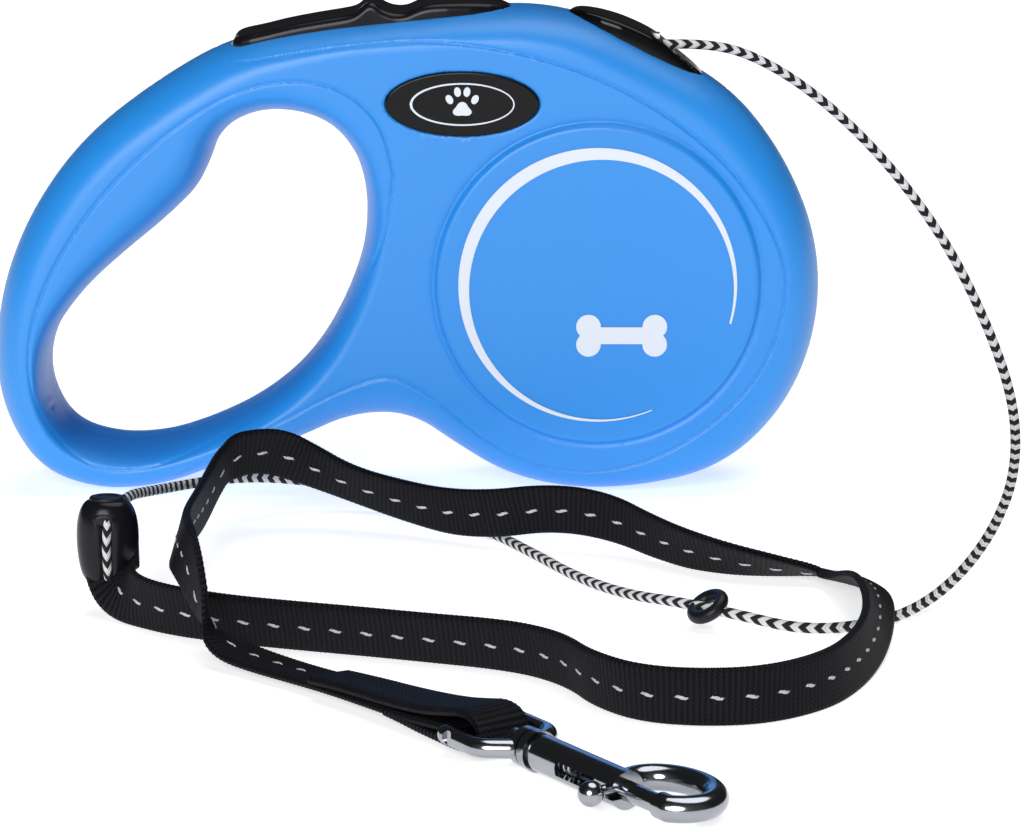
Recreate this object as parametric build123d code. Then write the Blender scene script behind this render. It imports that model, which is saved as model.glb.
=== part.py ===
from build123d import *
import math
import os

# Retractable leash.  X runs along the casing towards the nozzle, Y is away from the
# side with the front name plate, Z is up.  The casing stands upright on the table,
# and the strap, hook and most of the free cord lie on the table in front of it.

# ---------- driving dimensions, in millimetres ----------
HALF = 14.0              # half the casing's thickness
WALL = 2.0
HANDLE_ROUND = 3.6       # rounding of the casing's edges along the handle
SPOOL_ROUND = 9.0        # rounding of the casing's outer edge around the reel
REEL_X, REEL_Z = 36.0, 41.0
DRUM_RADIUS = 30.2       # raised disc on each side of the casing
DRUM_RISE = 1.0
GROOVE_DEPTH = 0.35
GAP = 0.4                # running clearance between loose pieces

CORD = 1.8               # cord diameter
STRAP_WIDTH = 9.5
STRAP_THICK = 1.8

LABEL_X, LABEL_Z = 10.8, 75.0
LABEL_LONG, LABEL_HIGH, LABEL_DEEP = 28.5, 12.0, 0.9

REEL_RADIUS = 31.0       # over the ratchet teeth
TEETH = 30
TOOTH_DEPTH = 2.2
HUB_RADIUS = 11.0
AXLE_RADIUS = 2.5
SHAFT_FIT = 0.05
FRONT_FLANGE = (-10.5, -9.0)     # the reel's discs, as spans along Y
MIDDLE_FLANGE = (0.6, 2.0)
CUP_RADIUS = 26.0
CUP_END = 9.4
COVER_THICK = 1.2

BUTTON_HALF = 7.6        # half the brake button's width
BUTTON_SLIDE = 2.0
BUTTON_PIVOT = (14.0, 84.2)
PAWL_PIVOT = (1.5, 75.5)

HOOK_HEADING = -55.5     # the way the snap hook points on the table
COLLAR = (23.5, -180.4, 3.3)
BAR_BACK = 12.0          # the shackle's cross bar, behind the collar
SHACKLE_HALF = 6.5       # from the hook's axis to the middle of each arm
ARM_RADIUS = 1.5
BARREL_RADIUS = 2.9
BARREL_END = 23.3
EYE_ALONG, EYE_ASIDE = 27.5, 4.2     # centre of the hook's oval eye
EYE_LONG, EYE_WIDE = 8.0, 6.0        # its half lengths, to the middle of the section
EYE_SECTION = 2.0
BOLT_RADIUS = 1.5
BOLT_TIP = 31.0
KNOB_ALONG = 21.4

# The casing's outline and the finger hole: points in (X, Z) with the heading, in
# degrees, in which the outline passes them, clockwise.
OUTLINE = [
    (-77.8, 25, 90), (-67, 58.3, 55), (-40, 81.2, 30), (-10, 89, 6), (20, 91.6, 1),
    (40, 87.2, -26), (66, 70, -51), (78, 38, -91), (66.5, 10, -135), (36, 0, 180),
    (14, 5.6, 149), (-4.5, 14.4, 180), (-26, 7.8, 198), (-55, 0, 180), (-72.5, 7.8, 125),
]
FINGER_HOLE = [
    (-68.3, 22, 90), (-57, 42, 42), (-41, 56, 45), (-36, 65, 72), (-24, 72.6, 0),
    (-11.5, 67.5, -50), (-7.3, 54, -90), (-14.5, 30.5, -120), (-32, 14.2, -153),
    (-53, 8.2, 180), (-66, 14, 120),
]
SCREWS = [(-69.4, 10.9), (-48.0, 66.5), (-1.0, 60.0), (-18.5, 16.8), (64.0, 19.5), (66.5, 61.5)]

# The free cord's route from the nozzle's eyelet to the connector.
CORD_ROUTE = [
    (47.6, 0, 84.2), (57, 0, 84.6), (67, -1, 81.6), (78.5, -3.5, 74.2), (90, -9, 63.5),
    (100.5, -17, 50), (107.5, -28, 36), (111, -42, 24.5), (109.5, -58, 15.5),
    (104, -73, 9), (96.5, -86, 4), (88, -97, 1.2), (78, -105.5, 0.9), (67.5, -110.5, 1.9),
    (57.5, -107.5, 3.6), (48, -99.7, 3.6), (39.5, -88.6, 1.8), (31.5, -74.5, 0.9),
    (24, -58.5, 0.9), (16.5, -43.5, 0.9), (7, -32, 1.2), (-4, -25.5, 3), (-15.5, -24.5, 5.6),
    (-26, -29, 7.8), (-34.5, -39.5, 9.8), (-40.5, -53.5, 12), (-44, -69, 15),
    (-46, -81, 17.4), (-47.2, -90, 17.8),
]

# The strap's route, along the middle of its width, from the connector to the shackle.
STRAP_ROUTE = [
    (-45.6, -97.2, 4.9), (-39.5, -105.5, 4.9), (-31, -109.8, 4.9), (-20, -113.6, 4.9),
    (-8, -118.2, 4.9), (4, -122.2, 4.9), (15, -125.8, 4.9), (24.5, -131.5, 4.9),
    (30.5, -141.5, 4.9), (37.5, -151, 4.9), (48, -156.4, 4.9), (60, -156, 4.9),
    (70.5, -149.5, 4.9), (77.8, -139, 5.1), (82.3, -126, 6.4), (84.6, -112, 8.9),
    (84.6, -98, 9.1), (81, -84.5, 7.2), (73, -74, 5.4), (61.5, -69.4, 4.9),
    (49, -65.6, 5.9), (37.5, -59.8, 8.4), (26.5, -57.6, 8.9), (15, -56.8, 8.2),
    (5, -51.5, 8), (-3.5, -43.2, 10), (-13, -38, 13.2), (-24, -36.5, 16.3),
    (-33, -40.5, 18.4), (-37.6, -50.5, 19), (-38.4, -64, 18.9), (-37.4, -78, 18.6),
    (-36.2, -92, 18.4), (-35.2, -104, 18.4), (-34, -116, 17.6), (-32.2, -125.5, 14.4),
    (-28.4, -133, 9.6), (-21.5, -140.2, 6), (-12, -147.6, 4.9), (-4.6, -153.2, 4.9),
    (1.5, -157.2, 4.9),
]
ROUND_SHARE = 0.45


def export(name, solid):
    """Write one node and report its volume."""
    os.makedirs("parts", exist_ok=True)
    export_step(solid, f"parts/{name}.step")
    print(f"{name}: {solid.volume:.0f} mm3")


# ---------- outlines ----------
def heading(degrees):
    return Vector(math.cos(math.radians(degrees)), math.sin(math.radians(degrees)))


def smooth_edges(stations):
    """Pairs of tangent arcs through points whose headings are given."""
    edges = []
    for (x0, z0, turn0), (x1, z1, turn1) in zip(stations, stations[1:]):
        start, end = Vector(x0, z0), Vector(x1, z1)
        out, into = heading(turn0), heading(turn1)
        chord = end - start
        a = 2 * (1 - out.dot(into))
        b = 2 * chord.dot(out + into)
        c = chord.dot(chord)
        reach = c / b if a < 1e-6 else (-b + math.sqrt(b * b + 4 * a * c)) / (2 * a)
        first, last = start + out * reach, end - into * reach
        middle = (first + last) * 0.5
        edges.append(TangentArc(start, middle, tangent=out))
        edges.append(TangentArc(middle, end, tangent=(last - first).normalized()))
    return edges


def loop_face(stations):
    return make_face(smooth_edges(stations + stations[:1]))


def spool_face():
    """The casing's outline round the reel, run out straight past the handle."""
    first, last = 2, 9
    tail = 104.0
    x0, z0, turn0 = OUTLINE[first]
    x1, z1, _ = OUTLINE[last]
    corner_top = Vector(x0, z0) - heading(turn0) * tail
    corner_low = Vector(corner_top.X, z1)
    edges = smooth_edges(OUTLINE[first:last + 1])
    edges.append(Line((x1, z1), corner_low))
    edges.append(Line(corner_low, corner_top))
    edges.append(Line(corner_top, (x0, z0)))
    return make_face(edges)


def towards_front(face, y_far, y_near):
    """A solid on an XZ face from Y = y_far to the smaller Y = y_near."""
    return extrude(Plane.XZ.offset(-y_far) * face, y_far - y_near)


def disc(radius, y_far, y_near, x=REEL_X, z=REEL_Z):
    return towards_front(Pos(x, z) * Circle(radius), y_far, y_near)


def front_rim(solid, y):
    """The edges of a solid that lie at one Y."""
    return solid.edges().filter_by_position(Axis.Y, y - 0.01, y + 0.01)


# ---------- casing ----------
def casing_form(inset):
    """One half of the casing, solid, shrunk on all sides by the inset."""
    depth = HALF - inset
    outer = offset(loop_face(OUTLINE), -inset) if inset else loop_face(OUTLINE)
    hole = offset(loop_face(FINGER_HOLE), inset) if inset else loop_face(FINGER_HOLE)
    form = towards_front(outer - hole, 0, -depth)
    form = fillet(front_rim(form, -depth), HANDLE_ROUND - inset)
    rim = offset(spool_face(), -inset) if inset else spool_face()
    rounder = towards_front(rim, 1, -depth)
    rounder = fillet(front_rim(rounder, -depth), SPOOL_ROUND - inset)
    drum = disc(DRUM_RADIUS - inset, -HALF / 2, -depth - DRUM_RISE)
    drum = fillet(front_rim(drum, -depth - DRUM_RISE), 0.8)
    return (form & rounder) + drum


def button_profile(grow):
    """Outline of the brake button in XZ, from its tail to its front tip."""
    top = Spline(
        (-32.2, 86.2), (-30.5, 87.1), (-24, 88.4), (-12, 90.6), (-7.6, 92.4), (-5.4, 92.2),
        (-2, 91.2), (4, 92.1), (12, 92.5), (19.6, 91.8),
    )
    low = Polyline((19.6, 91.8), (17.8, 86), (16.4, 81.4), (-20, 80), (-31.6, 79.4), (-32.2, 86.2))
    face = make_face([top, low])
    return offset(face, grow) if grow else face


def nozzle_block():
    """The nozzle before it is bored: it stands proud of the casing's shoulder."""
    back, front = Vector(30.4, 90.6), Vector(55.2, 78.9)
    top = Spline(back, (34.5, 90.6), (40, 89.3), (46.4, 86.9))
    low = Polyline((46.4, 86.9), (48.2, 82.8), (52, 81), front, (51.5, 76.4), (37.5, 81.6), (31.5, 86.2), back)
    return towards_front(make_face([top, low]), 7, -7)


def nozzle():
    """The black outlet: a mouth, a lip below it and a bore for the cord."""
    block = nozzle_block()
    throat = Pos(37.1, 0, 83.4) * Box(16.2, 5.2, 9)
    way = Pos(44, 0, 84.2) * Rotation(0, 90, 0) * Cylinder(1.7, 12)
    seat = Pos(46.6, 0, 84.2) * Rotation(0, 90, 0) * Cylinder(2.4, 2.4)
    return block - throat - way - seat


def nozzle_eyelet():
    ring = Pos(46.6, 0, 84.2) * Rotation(0, 90, 0) * (Cylinder(2.4, 2.4) - Cylinder(1.25, 2.4))
    return ring - towards_front(Pos(49.2, 85) * Rectangle(3, 9), 7, -7)


def button_slot():
    """Room above the casing's roof for the button, its press and its slide."""
    rim = Polyline((-35.4, 96), (21.2, 96), (19.2, 86.2), (-20, 82.2), (-35.4, 78.2), close=True)
    return towards_front(make_face(rim), BUTTON_HALF + GAP, -BUTTON_HALF - GAP)


def label_recess():
    oval = Pos(LABEL_X, LABEL_Z) * Ellipse(LABEL_LONG / 2 + 0.1, LABEL_HIGH / 2 + 0.1)
    return towards_front(oval, -HALF + LABEL_DEEP, -HALF - 2)


def seam_groove():
    """The fine line that runs round the casing inside its rounded edge."""
    line = loop_face([
        (-71.5, 24, 90), (-61.5, 51, 53), (-37.5, 73.6, 33), (-29, 79.6, 30), (0, 83.4, 2),
        (20, 83.2, -4), (38, 78.8, -24), (59, 64.5, -50), (70.8, 38, -90), (60, 13.2, -138),
        (36, 6.6, 180), (15, 12.6, 143), (-4.5, 20.8, 180), (-24, 14.6, 200), (-52, 4.2, 180),
        (-68, 11, 122),
    ])
    return towards_front(line - offset(line, -0.5), -HALF + GROOVE_DEPTH, -HALF - 1)


def bosses(y_end):
    posts = [disc(2.7, 0, y_end, x, z) for x, z in SCREWS]
    posts.append(disc(5.2, -11.0, y_end))
    return posts


def half_casing():
    shell = casing_form(0) - casing_form(WALL)
    posts = Part() + bosses(-HALF + 1)
    shell += posts & casing_form(0.5)
    shell -= button_slot()
    shell -= nozzle_block()
    shell -= label_recess()
    shell -= seam_groove()
    shell -= disc(AXLE_RADIUS, 0, -12.6)
    return shell


def front_casing(blank):
    for x, z in SCREWS:
        blank -= disc(1.1, 1, -9, x, z)
    return blank


def rear_casing(blank):
    """The mirror half, bored for the screws that come in from behind."""
    for x, z in SCREWS:
        blank -= disc(1.4, 1, -HALF - 2, x, z)
        blank -= disc(2.3, -HALF + 3, -HALF - 2, x, z)
    return mirror(blank, about=Plane.XZ)


def screws():
    heads = []
    for x, z in SCREWS:
        head = disc(2.1, -HALF + 3, -HALF + 1.2, x, z)
        recess = disc(0.9, -HALF + 2.2, -HALF, x, z)
        heads.append(head - recess + disc(1.05, 8, -HALF + 3, x, z))
    return mirror(Part() + heads, about=Plane.XZ)


def name_plate():
    oval = Pos(LABEL_X, LABEL_Z) * Ellipse(LABEL_LONG / 2, LABEL_HIGH / 2)
    plate = towards_front(oval, -HALF + LABEL_DEEP, -HALF - 0.25)
    return fillet(front_rim(plate, -HALF - 0.25), 0.3)


def side_print():
    """A thin pale ring of tapering width and a bone, printed on the raised disc."""
    ring = Circle(26.0) - Pos(0.7, -0.9) * Circle(24.7)
    gap = Pos(19, -17) * Rotation(0, 0, 45) * Rectangle(22, 16)
    bone = Rectangle(11, 3.2)
    for side in (-1, 1):
        for lift in (-1, 1):
            bone += Pos(side * 6.2, lift * 1.7) * Circle(2.3)
    marks = (ring - gap) + Pos(4.5, -9.5) * bone
    return towards_front(Pos(REEL_X, REEL_Z) * marks, -HALF - DRUM_RISE, -HALF - DRUM_RISE - 0.08)


# ---------- reel and mainspring ----------
def ratchet_face():
    points = []
    for tooth in range(TEETH):
        angle = 2 * math.pi * tooth / TEETH
        step = 2 * math.pi / TEETH
        for radius, share in ((REEL_RADIUS, 0.0), (REEL_RADIUS - TOOTH_DEPTH, 0.12)):
            a = angle + share * step
            points.append((radius * math.cos(a), radius * math.sin(a)))
    return Pos(REEL_X, REEL_Z) * make_face(Polyline(*points, close=True))


def reel():
    body = towards_front(ratchet_face(), FRONT_FLANGE[1], FRONT_FLANGE[0])
    body += disc(HUB_RADIUS, MIDDLE_FLANGE[0], FRONT_FLANGE[1])
    body += disc(29.0, MIDDLE_FLANGE[1], MIDDLE_FLANGE[0])
    cup = disc(CUP_RADIUS, CUP_END, MIDDLE_FLANGE[1]) - disc(CUP_RADIUS - 1.6, CUP_END, MIDDLE_FLANGE[1])
    body += cup
    for spoke in range(6):
        a = math.radians(60 * spoke + 30)
        window = disc(4.2, 0, -20, REEL_X + 20.5 * math.cos(a), REEL_Z + 20.5 * math.sin(a))
        body -= window & disc(40, FRONT_FLANGE[1] + 0.5, -20)
    return body - disc(AXLE_RADIUS + SHAFT_FIT, 12, -12)


def spring_cover():
    cover = disc(CUP_RADIUS, CUP_END + COVER_THICK, CUP_END)
    return cover - disc(AXLE_RADIUS + SHAFT_FIT, 12, -12)


def mainspring():
    """A flat strip wound as half turns, each larger than the last by one step."""
    strip, radius, step = 0.45, 2.8, 1.05
    coil = Sketch()
    for half_turn in range(20):
        side = 1 if half_turn % 2 == 0 else -1
        ring = Circle(radius + strip / 2) - Circle(radius - strip / 2)
        keep = Pos(0, side * 30) * Rectangle(80, 60)
        coil += Pos(REEL_X + (0 if side > 0 else step), REEL_Z) * (ring & keep)
        radius += step
    return towards_front(coil, CUP_END - 0.5, MIDDLE_FLANGE[1] + 0.7)


def cord_winding():
    """The wound cord as one closed ring between the reel's discs."""
    ring = disc(23.5, MIDDLE_FLANGE[0] - 0.05, FRONT_FLANGE[1] + 0.05)
    ring = fillet(ring.edges().filter_by(GeomType.CIRCLE), 2.0)
    return ring - disc(HUB_RADIUS + 0.05, 12, -12)


def reel_axle():
    return disc(AXLE_RADIUS, 12.6, -12.6)


# ---------- brake ----------
def button_cap():
    """The brake button: a hollow cap with side walls that the pivot pin crosses."""
    cap = towards_front(button_profile(0), BUTTON_HALF, -BUTTON_HALF)
    room = Polyline((-29.6, 70), (-29.6, 85.2), (-8, 89.2), (16.8, 89.6), (16.8, 70), close=True)
    cap -= towards_front(make_face(room), BUTTON_HALF - 1.6, 1.6 - BUTTON_HALF)
    x, z = BUTTON_PIVOT
    lugs = disc(2.6, BUTTON_HALF, BUTTON_HALF - 1.6, x, z) + disc(2.6, 1.6 - BUTTON_HALF, -BUTTON_HALF, x, z)
    cap += lugs
    for line in range(4):
        cap += towards_front(Pos(2.5 + 3.4 * line, 92.1) * Circle(0.55), 5, -5)
    return cap - disc(1.3, 12, -12, x, z)


def brake_carrier():
    """The slide below the button: it carries the pivot pin and the spring's seat."""
    x, z = BUTTON_PIVOT
    base = towards_front(Pos(6, 73.8) * Rectangle(30, 2), 5.4, -5.4)
    post = towards_front(Pos(x, 79.2) * Rectangle(3.8, 10), 5.4, -5.4) + disc(2, 5.4, -5.4, x, z)
    stud = Pos(-4, 0, 75.8) * Cylinder(1.2, 2)
    return base + post + stud - disc(1.25, 12, -12, x, z)


def brake_pivot_pin():
    return disc(1.25, 7.4, -7.4, *BUTTON_PIVOT)


def brake_spring():
    """The button's return spring, standing on the carrier."""
    wire, radius, low, high, turns = 0.5, 2.2, 75.05, 88.9, 6
    path = Pos(-4, 0, low) * Helix((high - low) / turns, high - low, radius)
    return sweep(Plane(path @ 0, z_dir=path % 0) * Circle(wire / 2), path=path)


def brake_pawl():
    """The lever that drops into the ratchet; its tip rests clear of the teeth."""
    x, z = PAWL_PIVOT
    arm = Polyline(
        (x - 1, z + 3.2), (21.0, 74.6), (22.0, 71.6), (19.8, 72.4), (x + 1, z - 3.2), close=True
    )
    lever = towards_front(make_face(arm), -8.7, -10.7) + disc(3.4, -8.7, -10.7, x, z)
    return lever - disc(1.55, 0, -14, x, z)


def pawl_pin():
    return disc(1.5, -8.2, -12, *PAWL_PIVOT) + disc(2.6, -7.4, -8.4, *PAWL_PIVOT)


# ---------- free cord, stopper and connector ----------
def bend_radii(points):
    """The radius of each bend: its arc takes a fixed share of the shorter run beside it."""
    radii = []
    for before, here, after in zip(points, points[1:], points[2:]):
        into, out = here - before, after - here
        half_turn = math.radians(into.get_angle(out)) / 2
        radii.append(ROUND_SHARE * min(into.length, out.length) / math.tan(half_turn))
    return radii


def rounded(route):
    points = [Vector(*point) for point in route]
    radii = bend_radii(points)
    print("bend radii:", " ".join(f"{radius:.1f}" for radius in radii))
    return FilletPolyline(*points, radius=radii)


def tube(route, diameter):
    """A round cord along a route of straight runs and tangent arcs."""
    path = rounded(route)
    cord = sweep(Plane(path @ 0, z_dir=path % 0) * Circle(diameter / 2), path=path)
    share = cord.volume / (math.pi * diameter ** 2 / 4 * path.length)
    print(f"length {path.length:.1f} mm, volume over section times length {share:.4f}")
    return cord


def inner_cord_run():
    """The cord inside the casing, from the winding's rim to the eyelet."""
    return tube([(19.6, -4.2, 59.2), (30.4, -2.0, 72), (39.4, 0, 83.7), (47.6, 0, 84.2)], CORD)


def stopper_ring():
    """The loose rubber ring on the cord, on the middle of one run."""
    a, b = Vector(*CORD_ROUTE[14]), Vector(*CORD_ROUTE[15])
    middle = (a + b) * 0.5 + Vector(0, 0, 0.3)
    ring = Cylinder(3.8, 2.2) - Cylinder(1.7, 2.2)
    ring = fillet(ring.edges().filter_by(GeomType.CIRCLE), 0.5)
    return Plane(middle, z_dir=b - a) * ring


def connector_outer():
    """An upright capsule that narrows to the strap below it."""
    x, y = -48.0, -92.5
    body = Pos(x, y, 7.4) * extrude(Ellipse(5.3, 4.4), 12.6)
    body = fillet(body.edges().group_by(Axis.Z)[-1], 1.6)
    foot = Pos(x, y, 0.2) * extrude(Ellipse(3.7, 3.2), 1)
    skirt = loft([Pos(x, y, 0.2) * Ellipse(3.7, 3.2), Pos(x, y, 7.4) * Ellipse(5.3, 4.4)])
    return body + skirt + foot


def connector_shell(cord, strap):
    shell = connector_outer()
    shell -= Pos(-48, -92.5, 20) * extrude(Ellipse(3.4, 2.6), -1.4)
    shell -= Pos(-48.6, -96.9, 16.2) * Box(3.2, 2.4, 2.6)
    return shell - cord - strap


def connector_cap():
    """The oval plug pressed into the top of the connector."""
    cap = Pos(-48, -92.5, 18.6) * extrude(Ellipse(3.4, 2.6), 2.4)
    return fillet(cap.edges().group_by(Axis.Z)[-1], 0.7)


# ---------- strap ----------
def leash_strap():
    """The strap stands on its edge: a flat section swept with its width upright."""
    path = rounded(STRAP_ROUTE)
    start = Plane(path @ 0, x_dir=(0, 0, 1), z_dir=path % 0)
    guide = Pos(0, 0, 40) * path
    band = Solid.sweep((start * Rectangle(STRAP_WIDTH, STRAP_THICK)).face(), path, mode=guide)
    share = band.volume / (STRAP_WIDTH * STRAP_THICK * path.length)
    print(f"strap length {path.length:.1f} mm, volume over section times length {share:.4f}")
    return band


# ---------- snap hook, built along +X and then laid on the table ----------
def laid(solid):
    return Location(COLLAR, (0, 0, HOOK_HEADING)) * solid


def rod(radius, start, end):
    """A round bar along the hook's own axis."""
    return Pos((start + end) / 2, 0, 0) * Rotation(0, 90, 0) * Cylinder(radius, end - start)


def cross_bar(radius, length, along):
    return Pos(along, 0, 0) * Rotation(90, 0, 0) * Cylinder(radius, length)


def strap_end():
    """The strap's doubled end: it turns flat and goes round the shackle's bar."""
    turn = math.radians(HOOK_HEADING)
    start = Vector(*STRAP_ROUTE[-1])
    bar = Vector(*COLLAR) - Vector(math.cos(turn), math.sin(turn)) * BAR_BACK
    inward = (start - bar).normalized()
    stop = bar + Vector(-math.cos(turn), -math.sin(turn)) * 2.3
    first = math.degrees(math.atan2(-inward.Y, -inward.X))
    sections = []
    steps = 6
    for step in range(steps + 1):
        share = step / steps
        centre = start + (stop - start) * share
        way = math.radians(first + (HOOK_HEADING - first) * share)
        along = Vector(math.cos(way), math.sin(way))
        across = Vector(-math.sin(way), math.cos(way))
        lean = math.radians(90 * share)
        upright = Vector(0, 0, 1) * math.cos(lean) + across * math.sin(lean)
        thick = STRAP_THICK + (2.9 - STRAP_THICK) * min(1, 3 * share)
        section = Plane(centre, x_dir=upright, z_dir=along) * Rectangle(STRAP_WIDTH, thick)
        sections.append(section)
    tail = loft(sections, ruled=True)
    eye = laid(cross_bar(2.9, STRAP_WIDTH, -BAR_BACK) - cross_bar(1.3, 12, -BAR_BACK))
    return tail - laid(cross_bar(2.0, 12, -BAR_BACK)) + eye


def hook_shackle():
    """A bow that the cross bar closes, with the collar that swivels on the hook."""
    half = SHACKLE_HALF
    points = [(-BAR_BACK - 2, half), (-5.4, half), (-2.4, 2.4), (-2.4, -2.4), (-5.4, -half),
              (-BAR_BACK - 2, -half)]
    path = FilletPolyline(*[Vector(x, y) for x, y in points], radius=[3.5, 2, 2, 3.5])
    bow = sweep(Plane(path @ 0, z_dir=path % 0) * Circle(ARM_RADIUS), path=path)
    for side in (-1, 1):
        bow += Pos(-BAR_BACK - 2, side * half, 0) * Sphere(ARM_RADIUS)
    bow += rod(3.1, -2.7, -0.9)
    return bow - rod(1.35, -8, 2) - cross_bar(1.2, 40, -BAR_BACK)


def shackle_bar():
    return cross_bar(1.2, 2 * SHACKLE_HALF + 2, -BAR_BACK)


def hook_eye():
    """The oval eye, open along the bolt's line where the bolt closes it."""
    half = math.degrees(math.asin(EYE_ASIDE / EYE_WIDE))
    path = EllipticalCenterArc((EYE_ALONG, EYE_ASIDE), EYE_LONG, EYE_WIDE, -half,
                               arc_size=180 + 2 * half)
    return sweep(Plane(path @ 0, z_dir=path % 0) * Circle(EYE_SECTION), path=path)


def hook_body():
    """Swivel pin, collar, barrel and eye in one piece, bored for the bolt."""
    nose = EYE_ALONG + EYE_LONG * math.sqrt(1 - (EYE_ASIDE / EYE_WIDE) ** 2)
    body = rod(1.3, -4.6, 0) + rod(2.1, -5.4, -4.5) + rod(3.2, -0.5, 1.2) + rod(2.2, 1, 2.4)
    body += rod(BARREL_RADIUS, 2.2, BARREL_END)
    body += hook_eye()
    body += rod(EYE_SECTION, BOLT_TIP + 0.3, nose) + Pos(nose, 0, 0) * Sphere(EYE_SECTION)
    body -= rod(BOLT_RADIUS + 0.05, 5, BOLT_TIP + 0.3)
    body -= Pos((9 + BARREL_END + 2) / 2, -3, 0) * Box(BARREL_END - 7, 4, 2.2)
    return body


def hook_bolt():
    """The sliding bolt that closes the eye, with the knob's stem."""
    stem = Pos(KNOB_ALONG, -2.2, 0) * Rotation(90, 0, 0) * Cylinder(0.9, 4.4)
    return rod(BOLT_RADIUS, 17, BOLT_TIP) + stem


def hook_knob():
    ball = Pos(KNOB_ALONG, -5.2, 0) * Sphere(1.95)
    return ball - Pos(KNOB_ALONG, -2.2, 0) * Rotation(90, 0, 0) * Cylinder(0.9, 4.4)


def hook_bolt_spring():
    path = Pos(5.3, 0, 0) * Rotation(0, 90, 0) * Helix(1.3, 5.2, 1.15)
    return sweep(Plane(path @ 0, z_dir=path % 0) * Circle(0.22), path=path)


# ---------- all nodes ----------
blank = half_casing()
export("casing_front", front_casing(blank))
export("casing_rear", rear_casing(blank))
plate = name_plate()
export("label_front", plate)
export("label_rear", mirror(plate, about=Plane.XZ))
export("side_print", side_print())
export("casing_screws", screws())
export("nozzle", nozzle())
export("nozzle_eyelet", nozzle_eyelet())
export("brake_button", button_cap())
export("brake_carrier", brake_carrier())
export("brake_pivot_pin", brake_pivot_pin())
export("brake_spring", brake_spring())
export("brake_pawl", brake_pawl())
export("pawl_pin", pawl_pin())
export("reel", reel())
export("spring_cover", spring_cover())
export("mainspring", mainspring())
export("cord_winding", cord_winding())
export("reel_axle", reel_axle())
export("inner_cord_run", inner_cord_run())
cord = tube(CORD_ROUTE, CORD)
strap = leash_strap()
export("leash_cord", cord)
export("stopper_ring", stopper_ring())
export("connector_shell", connector_shell(cord, strap))
export("connector_cap", connector_cap())
export("leash_strap", strap)
export("strap_end", strap_end())
export("hook_shackle", laid(hook_shackle()))
export("shackle_bar", laid(shackle_bar()))
export("hook_body", laid(hook_body()))
export("hook_bolt", laid(hook_bolt()))
export("hook_knob", laid(hook_knob()))
export("hook_bolt_spring", laid(hook_bolt_spring()))
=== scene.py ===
import math
import bpy
import numpy as np
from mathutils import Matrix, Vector
from mathutils.geometry import delaunay_2d_cdt


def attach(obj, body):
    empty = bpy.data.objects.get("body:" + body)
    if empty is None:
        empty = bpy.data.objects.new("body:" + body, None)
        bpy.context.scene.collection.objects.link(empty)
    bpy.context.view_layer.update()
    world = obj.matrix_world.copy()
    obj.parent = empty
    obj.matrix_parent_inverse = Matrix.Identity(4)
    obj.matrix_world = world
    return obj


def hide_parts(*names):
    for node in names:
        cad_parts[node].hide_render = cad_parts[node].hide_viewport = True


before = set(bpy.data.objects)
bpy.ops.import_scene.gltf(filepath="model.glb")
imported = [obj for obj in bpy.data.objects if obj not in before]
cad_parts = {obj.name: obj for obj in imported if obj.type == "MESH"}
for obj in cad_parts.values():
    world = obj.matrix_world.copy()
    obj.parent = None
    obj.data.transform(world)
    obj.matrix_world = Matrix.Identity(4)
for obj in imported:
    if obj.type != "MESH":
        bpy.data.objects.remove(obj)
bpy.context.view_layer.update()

MM = 0.001
scene = bpy.context.scene


# ---------------------------------------------------------------- helpers
def link(obj):
    scene.collection.objects.link(obj)
    return obj


def mesh_object(name, verts, faces, uvs=None, smooth=True):
    """verts in millimetres; uvs one pair per vertex."""
    me = bpy.data.meshes.new(name)
    me.from_pydata([(v[0] * MM, v[1] * MM, v[2] * MM) for v in verts], [], faces)
    if uvs is not None:
        layer = me.uv_layers.new(name="UVMap")
        for loop in me.loops:
            layer.data[loop.index].uv = uvs[loop.vertex_index]
    for p in me.polygons:
        p.use_smooth = smooth
    me.update()
    return link(bpy.data.objects.new(name, me))


def spline_line(points, resolution=14):
    """The polyline of a quadratic NURBS through given control points, in mm."""
    data = bpy.data.curves.new("route", "CURVE")
    data.dimensions = "3D"
    spline = data.splines.new("NURBS")
    spline.points.add(len(points) - 1)
    for p, q in zip(spline.points, points):
        p.co = (q[0], q[1], q[2], 1.0)
    spline.order_u = 3
    spline.use_endpoint_u = True
    spline.resolution_u = resolution
    obj = link(bpy.data.objects.new("route", data))
    bpy.context.view_layer.update()
    me = bpy.data.meshes.new_from_object(obj.evaluated_get(bpy.context.evaluated_depsgraph_get()))
    line = np.array([v.co[:] for v in me.vertices])
    bpy.data.objects.remove(obj)
    bpy.data.meshes.remove(me)
    return line


def resample(lines, step):
    """Polylines that share a parameter, resampled evenly along the first one."""
    first = lines[0]
    reach = np.concatenate([[0], np.cumsum(np.linalg.norm(np.diff(first, axis=0), axis=1))])
    count = max(2, int(round(reach[-1] / step)) + 1)
    at = np.linspace(0, reach[-1], count)
    out = [np.stack([np.interp(at, reach, l[:, k]) for k in range(3)], axis=1) for l in lines]
    return at, out


def unit(a):
    return a / np.linalg.norm(a, axis=-1, keepdims=True)


def tangents(line):
    return unit(np.gradient(line, axis=0))


def skin(name, rings, along, around, closed=True, caps=True):
    """A surface through rings of points; along and around become its UV in millimetres."""
    n, m = len(rings), len(rings[0])
    verts = [tuple(p) for ring in rings for p in ring]
    uvs = [(along[i], around[j]) for i in range(n) for j in range(m)]
    faces = []
    last = m if closed else m - 1
    for i in range(n - 1):
        for j in range(last):
            k = (j + 1) % m
            faces.append((i * m + j, i * m + k, (i + 1) * m + k, (i + 1) * m + j))
    if caps:
        faces.append(tuple(range(m))[::-1])
        faces.append(tuple((n - 1) * m + j for j in range(m)))
    return mesh_object(name, verts, faces, uvs)


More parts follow.
